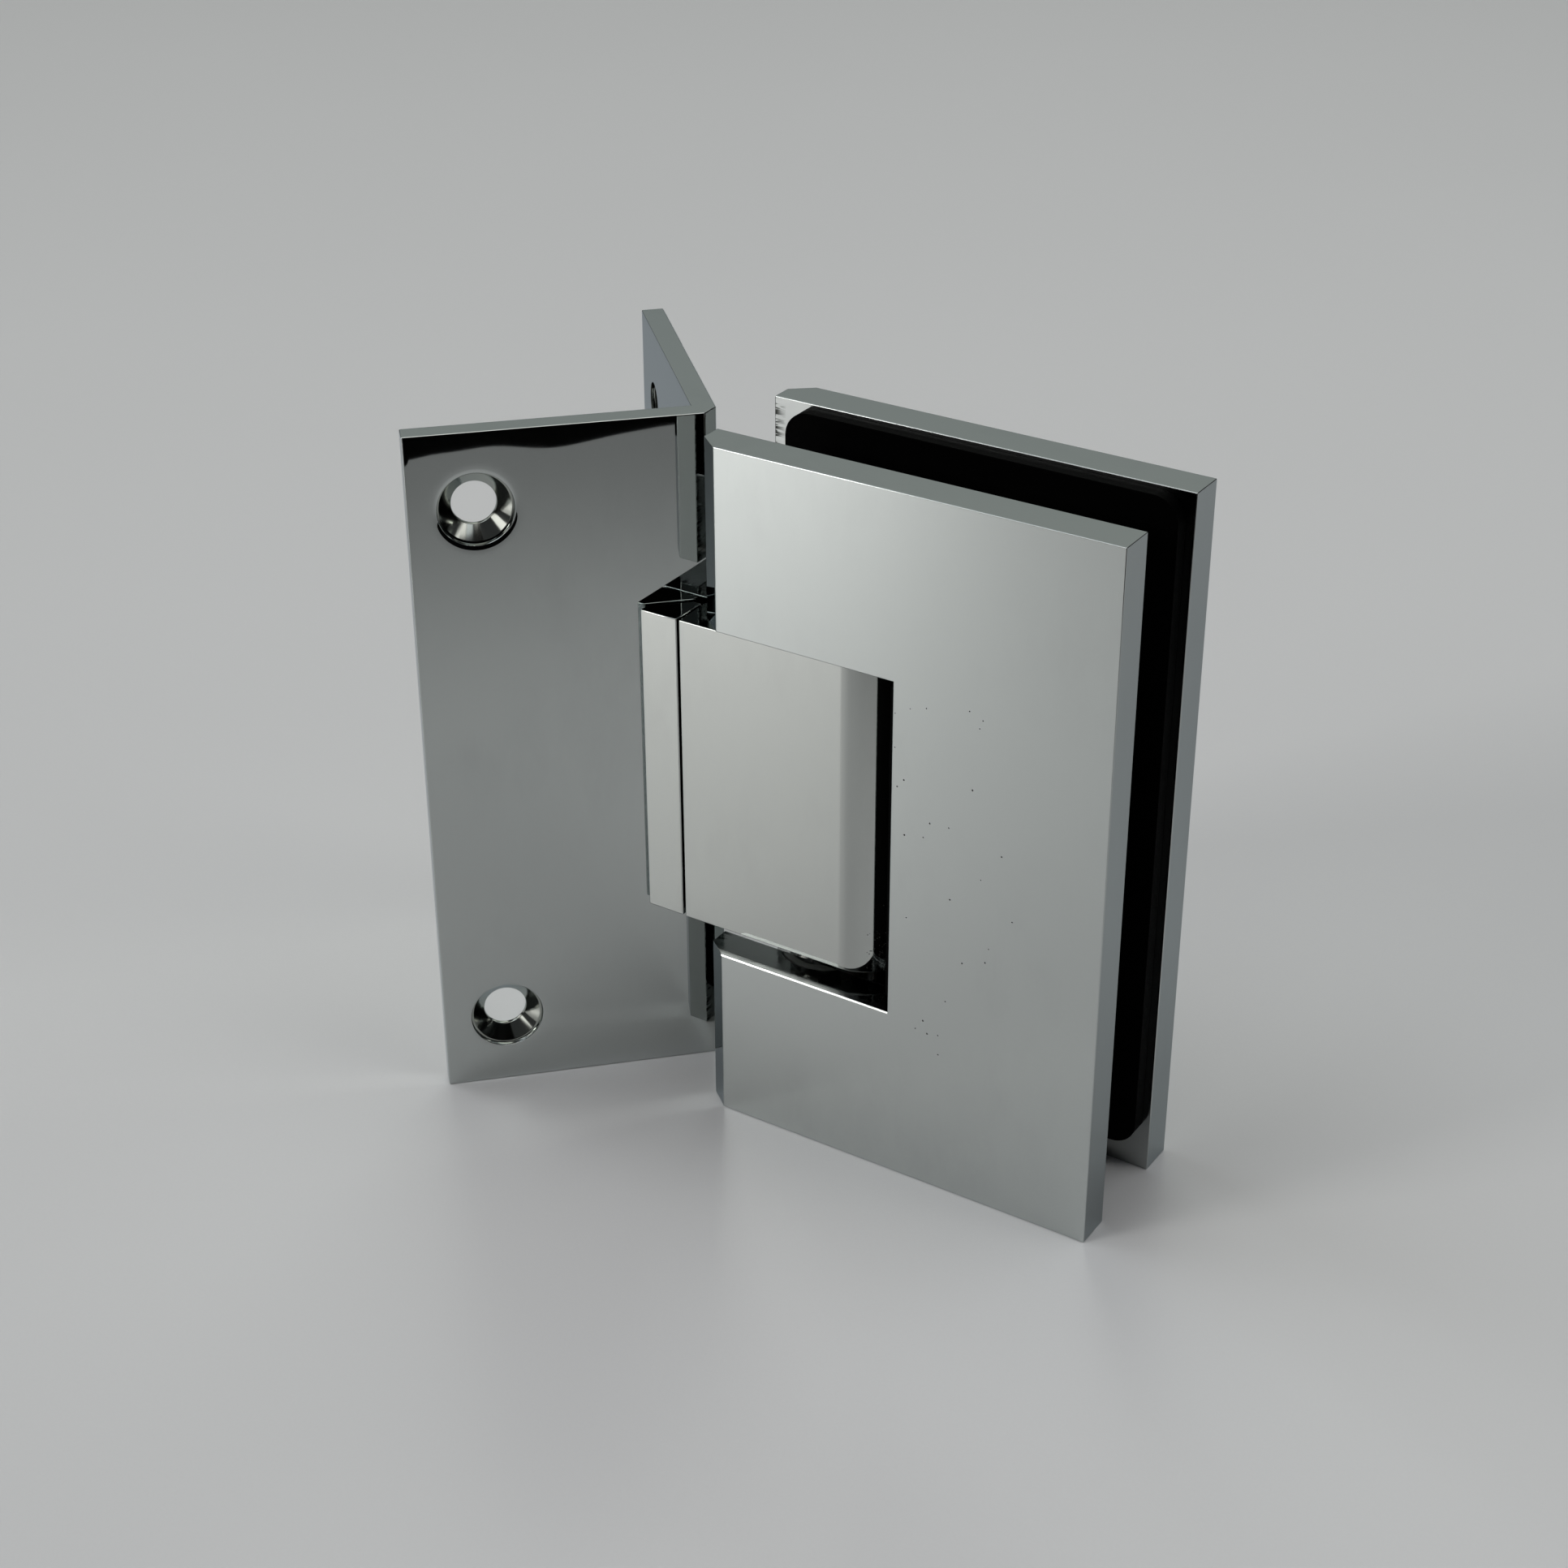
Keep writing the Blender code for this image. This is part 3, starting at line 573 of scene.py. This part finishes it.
# Polishing leaves a leaf's face slightly wavy near its top: middle and width of each wave along the
# leaf, and how far it tilts the face outwards
LEAF_TILT = 0.0020
LEAF_WAVES = ((17 * MM, 4.5 * MM, 0.0022), (20.5 * MM, 4 * MM, 0.0032), (LEAF_LENGTH, 4 * MM, -0.0010),
              (9 * MM, 4 * MM, 0.0006), (27 * MM, 3.5 * MM, -0.0014), (LEAF_LENGTH, 2.2 * MM, 0.0030),
              (7 * MM, 4 * MM, -0.0010))
WAVE_REACH = 9 * MM
RIPPLE_LENGTH = 16 * MM
RIPPLE_HEIGHT = 22 * MM
RIPPLE_DEPTH = 0.0022 * MM
RIPPLE_ROW = 3.7
WARP_START = 2.5 * MM
WARP_EASE = 2 * MM


def leaf_warp(along, height):
    """Outward shift of a leaf's polished face."""
    near_top = max(0.0, height - (LEAF_HEIGHT - WAVE_REACH))
    tilt = LEAF_TILT
    for middle, width, slope in LEAF_WAVES:
        tilt += slope * math.exp(-((along - middle) / width) ** 2)
    roll = -tilt * near_top ** 2 / (2 * WAVE_REACH)
    ripple = noise.noise(Vector((along / RIPPLE_LENGTH, height / RIPPLE_HEIGHT, RIPPLE_ROW))) * RIPPLE_DEPTH
    return roll + ripple


def corner_plate():
    """The wall plate with its holes, cut into strips so that its faces can follow the waves."""
    outline = [(SEAT_X, -NOSE_HALF), leaf_point("front", LEAF_LENGTH, 0),
               leaf_point("front", LEAF_LENGTH, LEAF_THICK), (VERTEX_X - LEAF_THICK * ROOT2, 0),
               leaf_point("rear", LEAF_LENGTH, LEAF_THICK), leaf_point("rear", LEAF_LENGTH, 0),
               (SEAT_X, NOSE_HALF)]
    plate = prism("corner_plate_polished", outline, 0, LEAF_HEIGHT, "chrome")
    bevel(plate, CORNER_PLATE_EDGE, 4)
    slice_grid(plate, (0, 0, 1), [k * 1.5 * MM for k in range(1, 54)])
    slice_grid(plate, (0, 0, 1), [LEAF_HEIGHT - k * 0.75 * MM for k in range(1, 12)])
    for side, sign in SIDES.items():
        run = Vector((-1, sign, 0)) / ROOT2
        start = run.dot(Vector((VERTEX_X, 0, 0)))
        slice_grid(plate, run, [start + k * 1.2 * MM for k in range(3, 31)])
    step = WALL_STEP_RADIUS
    profile = [(WALL_HOLE_RADIUS, LEAF_THICK + MM), (WALL_HOLE_RADIUS, 2.36 * MM),
               (WALL_HOLE_RADIUS + 0.06 * MM, 2.24 * MM), (WALL_CONE_RADIUS, 0.74 * MM),
               (WALL_CONE_RADIUS + 0.09 * MM, 0.7 * MM), (step - 0.04 * MM, WALL_STEP_DEPTH + 0.08 * MM),
               (step, WALL_STEP_DEPTH), (step, -MM)]
    dish = [(step, 0.2 * MM), (step, 0.18 * MM), (step + 0.06 * MM, 0.08 * MM),
            (step + 0.2 * MM, 0.035 * MM), (WALL_DISH_RADIUS - MM, 0.014 * MM),
            (WALL_DISH_RADIUS, -0.01 * MM), (WALL_DISH_RADIUS + 0.1 * MM, -MM)]
    for side, sign in SIDES.items():
        for up in ENDS.values():
            place = (*leaf_point(side, WALL_HOLE_TO_VERTEX, 0), LEAF_HEIGHT / 2 + up * WALL_HOLE_SPACING / 2)
            inward = (-1, -sign, 0)
            combine(plate, [turned("dish", dish, place, inward, "chrome")], "DIFFERENCE")
            combine(plate, [turned("hole", profile, place, inward, "countersunk")], "DIFFERENCE")
    hole = BLOCK_SCREW_RADIUS + 0.3 * MM
    sink = BLOCK_HEAD_RADIUS + 0.3 * MM
    profile = [(sink, -6 * MM), (sink, 0), (hole, sink - hole), (hole, 6 * MM)]
    for end in ENDS:
        place = (BLOCK_SCREW_SEAT_X, 0, height_of(end, BLOCK_SCREW_OFFSET))
        combine(plate, [turned("hole", profile, place, (1, 0, 0), "chrome")], "DIFFERENCE")
    for vertex in plate.data.vertices:
        side = "rear" if vertex.co.y > 0 else "front"
        sign = SIDES[side]
        outward = Vector((1, sign, 0)) / ROOT2
        point = vertex.co - Vector((VERTEX_X, 0, 0))
        along = point.dot(Vector((-1, sign, 0)) / ROOT2)
        if -point.dot(outward) < 0.2 * MM and along > WARP_START:
            vertex.co += outward * leaf_warp(along, vertex.co.z) * min(1, (along - WARP_START) / WARP_EASE)
    shaded(plate)
    attach(plate, "wall_side", "chrome", "corner_plate")


# ---------------------------------------------------------------- block, wedges, screws

def wedge(side):
    sign = SIDES[side]
    slope = VERTEX_X + WEDGE_GAP * ROOT2
    face_x = wedge_low.x
    outline = [(SEAT_X, BLOCK_HALF), (SEAT_X, WEDGE_TIP_Y), (slope - WEDGE_TIP_Y, WEDGE_TIP_Y),
               (face_x, slope - face_x), (face_x, BLOCK_HALF)]
    piece = prism(f"{side}_wedge_polished", [(x, sign * y) for x, y in outline], block_low.z, block_high.z,
                  "block_chrome")
    bevel(piece, WEDGE_EDGE, 4)
    shaded(piece)
    attach(piece, "wall_side", "chrome", f"{side}_wedge")


def pivot_block():
    centre_x = block_high.x - BLOCK_CORNER
    centre_y = BLOCK_HALF - BLOCK_CORNER
    left = block_low.x - 0.05 * MM
    outline = [(left, BLOCK_HALF), (left, -BLOCK_HALF)]
    outline += arc(centre_x, -centre_y, BLOCK_CORNER, 270, 360, 28)
    outline += arc(centre_x, centre_y, BLOCK_CORNER, 0, 90, 28)
    block = prism("pivot_block_polished", outline, block_low.z, block_high.z, "block_chrome")
    bevel(block, BLOCK_EDGE, 4)
    half = (block_high.z - block_low.z) / 2
    seat = half - BUSH_DEPTH
    profile = [(BUSH_BORE, -half - MM), (BUSH_BORE, -seat), (PIN_BORE, -seat), (PIN_BORE, seat),
               (BUSH_BORE, seat), (BUSH_BORE, half + MM)]
    combine(block, [turned("bore", profile, (0, 0, MID_Z), UP, "steel")], "DIFFERENCE")
    for end in ENDS:
        place = (block_low.x, 0, height_of(end, DETENT_OFFSET))
        detent = turned("bore", [(DETENT_BORE, -MM), (DETENT_BORE, -block_low.x)], place, (1, 0, 0), "steel")
        combine(block, [detent], "DIFFERENCE")
        place = (block_low.x, 0, height_of(end, BLOCK_SCREW_OFFSET))
        thread = turned("bore", [(BLOCK_SCREW_BORE, -MM), (BLOCK_SCREW_BORE, BLOCK_SCREW_DEPTH)], place,
                        (1, 0, 0), "steel")
        combine(block, [thread], "DIFFERENCE")
    shaded(block)
    attach(block, "wall_side", "chrome", "pivot_block")


def socket_screw(name, profile, flats, low, high, place, direction, look, body, node):
    screw = turned(name, profile, place, direction, look, segments=72)
    combine(screw, [hexagonal("socket", flats, low, high, place, direction, "steel")], "DIFFERENCE")
    bevel(screw, 0.05 * MM, 2, 40)
    shaded(screw)
    attach(screw, body, look, node)


def screws():
    top = CLAMP_OUTER - 0.1 * MM
    cone = CLAMP_HEAD_RADIUS - CLAMP_SCREW_RADIUS
    seat = BLOCK_HEAD_RADIUS - BLOCK_SCREW_RADIUS
    for end in ENDS:
        profile = [(CLAMP_SCREW_RADIUS, -CLAMP_INNER), (CLAMP_SCREW_RADIUS, top - cone),
                   (CLAMP_HEAD_RADIUS, top - 0.12 * MM), (CLAMP_HEAD_RADIUS - 0.12 * MM, top)]
        socket_screw(f"clamp_screw_{end}_polished", profile, 4 * MM, top - 2 * MM, top + MM,
                     (CLAMP_SCREW_X, 0, height_of(end, CLAMP_SCREW_OFFSET)), (0, 1, 0), "chrome",
                     "glass_clamp", f"clamp_screw_{end}")
        profile = [(BLOCK_HEAD_RADIUS - 0.1 * MM, -0.1 * MM), (BLOCK_HEAD_RADIUS, 0),
                   (BLOCK_SCREW_RADIUS, seat), (BLOCK_SCREW_RADIUS, 11 * MM)]
        socket_screw(f"block_screw_{end}_turned", profile, 2.5 * MM, -MM, 1.3 * MM,
                     (BLOCK_SCREW_SEAT_X, 0, height_of(end, BLOCK_SCREW_OFFSET)), (1, 0, 0), "steel",
                     "wall_side", f"block_screw_{end}")


# ---------------------------------------------------------------- gaskets and inner pieces

def gasket(side):
    """A soft pad lying on its plate, with rounded edges."""
    low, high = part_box(f"{side}_gasket")
    radius = GASKET_CORNER
    outline = arc(low.x + radius, low.z + radius, radius, 180, 270, 14)
    outline += arc(high.x - radius, low.z + radius, radius, 270, 360, 14)
    outline += arc(high.x - radius, high.z - radius, radius, 0, 90, 14)
    outline += arc(low.x + radius, high.z - radius, radius, 90, 180, 14)
    sign = SIDES[side]
    faces = sorted((sign * 4 * MM, sign * (CLAMP_INNER - 0.01 * MM)))
    pad = prism(f"{side}_rubber_pad", outline, *faces, "rubber", plane="xz")
    cutout = prism("cutout", [(low.x - MM, MID_Z - CUTOUT_HALF_HEIGHT),
                              (CUTOUT_RIGHT, MID_Z - CUTOUT_HALF_HEIGHT),
                              (CUTOUT_RIGHT, MID_Z + CUTOUT_HALF_HEIGHT),
                              (low.x - MM, MID_Z + CUTOUT_HALF_HEIGHT)], -CLAMP_INNER - MM,
                   CLAMP_INNER + MM, "rubber", plane="xz")
    ears = [turned("ear", [(EAR_RADIUS, -CLAMP_INNER - MM), (EAR_RADIUS, CLAMP_INNER + MM)],
                   (CLAMP_SCREW_X, 0, height_of(end, CLAMP_SCREW_OFFSET)), (0, 1, 0), "rubber")
            for end in ENDS]
    combine(pad, [cutout, *ears], "DIFFERENCE")
    bevel(pad, GASKET_EDGE, 3)
    depths = sorted((sign * LIP_INNER, sign * LIP_OUTER))
    heights = (MID_Z - LIP_HALF_HEIGHT, MID_Z + LIP_HALF_HEIGHT)
    left = CUTOUT_RIGHT - 0.1 * MM
    lip = prism("lip", [(left, depths[0]), (LIP_RIGHT, depths[0]), (LIP_RIGHT, depths[1]),
                        (left, depths[1])], *heights, "rubber")
    bevel(lip, 0.12 * MM, 2)
    combine(pad, [lip], "UNION")
    shaded(pad)
    attach(pad, "glass_clamp", "rubber", f"{side}_gasket")


KEPT_NODES = {"glass_sleeve_lower": "nylon", "glass_sleeve_upper": "nylon", "bush_lower": "nylon",
              "bush_upper": "nylon", "pivot_pin": "steel", "pin_screw_lower": "steel",
              "pin_screw_upper": "steel", "spring_plug_lower": "steel", "spring_plug_upper": "steel",
              "detent_spring_lower": "spring_steel", "detent_spring_upper": "spring_steel",
              "detent_plunger_lower": "brass", "detent_plunger_upper": "brass"}


def finish_kept_nodes():
    for name, look in KEPT_NODES.items():
        node = frame["nodes"][name]
        for place in node.material_slots:
            place.material = looks[look]


# ---------------------------------------------------------------- studio

FLOOR_DULL = (0.70, 0.70, 0.70)
FLOOR_PALE = (0.74, 0.74, 0.74)
FLOOR_PAINTED_FALLOFF = 0.35
FLOOR_ROUGHNESS = 0.3

# Patches of the room's light: strength, then first and last bearing, lowest and highest rise, how softly
# the sides and the ends fade, and the tint. Bearings are in degrees from -Y towards -X, rises are shares
# of the way to straight up.
NEUTRAL = (1.015, 1.000, 0.982)
COOL = (0.95, 1.0, 1.05)
GREENISH = (0.985, 1.03, 0.96)
LIGHTS = ((15.4, 29.2, 46, 0.245, 0.415, 1.5, 0.03, NEUTRAL),
          (2.0, 13, 47, 0.25, 0.56, 5, 0.05, NEUTRAL),
          (2.2, 30.5, 36, 0.40, 0.60, 1, 0.03, NEUTRAL),
          (1.5, 70, 100, 0.18, 0.56, 8, 0.08, NEUTRAL),
          (1.3, 58, 76, -0.04, 0.13, 5, 0.04, NEUTRAL),
          (1.1, 58, 107, 0.54, 0.82, 8, 0.05, COOL),
          (0.37, 96, 184, 0.10, 0.62, 10, 0.08, GREENISH),
          (1.3, 125, 180, 0.60, 0.82, 12, 0.05, GREENISH),
          (1.8, 243, 268, 0.50, 0.82, 7, 0.06, NEUTRAL),
          (1.5, 10, 110, 0.78, 0.95, 12, 0.04, COOL),
          (1.3, 190, 290, 0.78, 0.95, 12, 0.04, COOL),
          (1.52, 0, 360, 0.91, 1.2, 0, 0.04, NEUTRAL))
ROOM = (0.052, 0.055, 0.057)
CARD_FOOT = Vector((144, -149, 0)) * MM
CARD_RUN = Vector((0.779, 0.628, 0))
CARD_FACING = Vector((-0.628, 0.779, 0))
CARD_SHADE = 0.45
CARD_SHADE_REACH = 0.13
BACKDROP = (0.42, 0.42, 0.42, 1)


def floor():
    """A wide pale sheet with paper grain and a soft sheen; painted light falloff makes it whitest round the
    hinge and darker far off.
    """
    mesh = bmesh.new()
    bmesh.ops.create_circle(mesh, cap_ends=True, radius=4, segments=64)
    made, nodes, shader = new_material("floor_sheet")
    place = nodes.place()
    grain = nodes.noise(place, 2500, 2, 0.6)
    cloud = nodes.noise(place, 5, 2, 0.5)
    away = nodes.add("ShaderNodeVectorMath", {0: place}, operation="LENGTH").outputs["Value"]
    colour = nodes.mix(cloud, (*FLOOR_DULL, 1), (*FLOOR_PALE, 1))
    # Painted light falloff: the sheet's colour darkens with distance from the hinge
    colour = nodes.mix(nodes.ramp(away, 0.15, 0.9, 0, FLOOR_PAINTED_FALLOFF, smooth=True), colour, (0.3, 0.3, 0.3, 1))
    colour = nodes.mix(nodes.ramp(grain, 0.3, 0.7, 0, 0.05), colour, (0.55, 0.55, 0.55, 1))
    # Painted shade on the sheet next to the card, standing in for the light the card would keep off it; only
    # the polished faces show it
    apart = nodes.add("ShaderNodeVectorMath", {0: place, 1: CARD_FOOT}, operation="SUBTRACT").outputs[0]
    apart = nodes.add("ShaderNodeVectorMath", {0: apart, 1: CARD_FACING},
                      operation="DOT_PRODUCT").outputs["Value"]
    shade = nodes.ramp(apart, 0.0, CARD_SHADE_REACH, CARD_SHADE, 0.0, smooth=True)
    unseen = nodes.math("SUBTRACT", 1.0, nodes.add("ShaderNodeLightPath").outputs["Is Camera Ray"])
    colour = nodes.mix(nodes.math("MULTIPLY", shade, unseen), colour, (0, 0, 0, 1))
    connect(nodes, shader, colour=colour, roughness=FLOOR_ROUGHNESS, metallic=0.0, specular=0.5,
            normal=nodes.bump(grain, 4e-6))
    looks["floor"] = made
    sheet = mesh_object("floor", mesh, "floor")


def dark_card():
    """What stands behind the camera: seen only in the polished faces."""
    made, nodes, shader = new_material("dark_room")
    cloud = nodes.noise(nodes.place(), 9, 2)
    connect(nodes, shader, colour=nodes.mix(cloud, (0.002, 0.002, 0.002, 1), (0.006, 0.006, 0.006, 1)),
            roughness=1.0, metallic=0.0, specular=0.0)
    looks["dark_room"] = made
    mesh = bmesh.new()
    corners = [(-0.10, 0.0), (0.5, 0.0), (0.5, 0.6), (-0.10, 0.6)]
    mesh.faces.new([mesh.verts.new(CARD_FOOT + CARD_RUN * a + UP * b) for a, b in corners])
    card = mesh_object("dark_card", mesh, "dark_room")
    card.visible_camera = False
    card.visible_diffuse = False
    card.visible_shadow = False
    card.visible_transmission = False


def world():
    """Soft room light by direction: a window at the front left, pale walls and ceiling elsewhere."""
    made = bpy.data.worlds.new("studio")
    bpy.context.scene.world = made
    made.use_nodes = True
    nodes = Nodes(made.node_tree)
    made.node_tree.nodes.clear()
    direction = nodes.add("ShaderNodeTexCoord").outputs["Generated"]
    parts = nodes.add("ShaderNodeSeparateXYZ", {0: direction}).outputs
    x, y, rise = parts[0], parts[1], parts[2]
    angle = nodes.math("ARCTAN2", nodes.math("MULTIPLY", x, -1.0), nodes.math("MULTIPLY", y, -1.0))
    bearing = nodes.math("MULTIPLY", angle, 180 / math.pi)
    glow = ROOM
    for strength, first, last, low, high, side, end, tint in LIGHTS:
        patch = nodes.math("MULTIPLY", nodes.ramp(rise, low, low + end, smooth=True),
                           nodes.ramp(rise, high, high - end, smooth=True))
        half = (last - first) / 2
        if half < 180:
            off = nodes.math("PINGPONG", nodes.math("SUBTRACT", bearing, (first + last) / 2), 180.0)
            patch = nodes.math("MULTIPLY", patch, nodes.ramp(off, half, half - side, smooth=True))
        light = nodes.add("ShaderNodeVectorMath", {0: tuple(strength * c for c in tint), "Scale": patch},
                          operation="SCALE").outputs[0]
        glow = nodes.add("ShaderNodeVectorMath", {0: glow, 1: light}, operation="ADD").outputs[0]
    seen = nodes.add("ShaderNodeLightPath").outputs["Is Camera Ray"]
    glow = nodes.mix(seen, glow, BACKDROP)
    background = nodes.add("ShaderNodeBackground", {"Color": glow, "Strength": 1.0})
    nodes.add("ShaderNodeOutputWorld", {"Surface": background.outputs[0]})
    bpy.context.scene.view_settings.view_transform = "Standard"
    bpy.context.scene.cycles.blur_glossy = 0.0


def camera():
    azimuth, elevation = math.radians(CAMERA_AZIMUTH), math.radians(CAMERA_ELEVATION)
    back = Vector((math.sin(azimuth) * math.cos(elevation), -math.cos(azimuth) * math.cos(elevation),
                   math.sin(elevation)))
    right = UP.cross(back).normalized()
    up = back.cross(right)
    roll = math.radians(CAMERA_ROLL)
    turned_right = right * math.cos(roll) + up * math.sin(roll)
    turned_up = up * math.cos(roll) - right * math.sin(roll)
    data = bpy.data.cameras.new("camera")
    data.sensor_width = 36
    data.lens = CAMERA_LENS
    data.clip_start = 0.01
    data.clip_end = 20
    made = bpy.data.objects.new("camera", data)
    bpy.context.scene.collection.objects.link(made)
    made.matrix_world = Matrix.Translation(CAMERA_PLACE) @ Matrix(
        (turned_right, turned_up, back)).transposed().to_4x4()
    bpy.context.scene.camera = made


front_plate()
rear_plate()
plating_specks()
corner_plate()
pivot_block()
screws()
for each in SIDES:
    wedge(each)
    gasket(each)
finish_kept_nodes()
floor()
dark_card()
world()
camera()
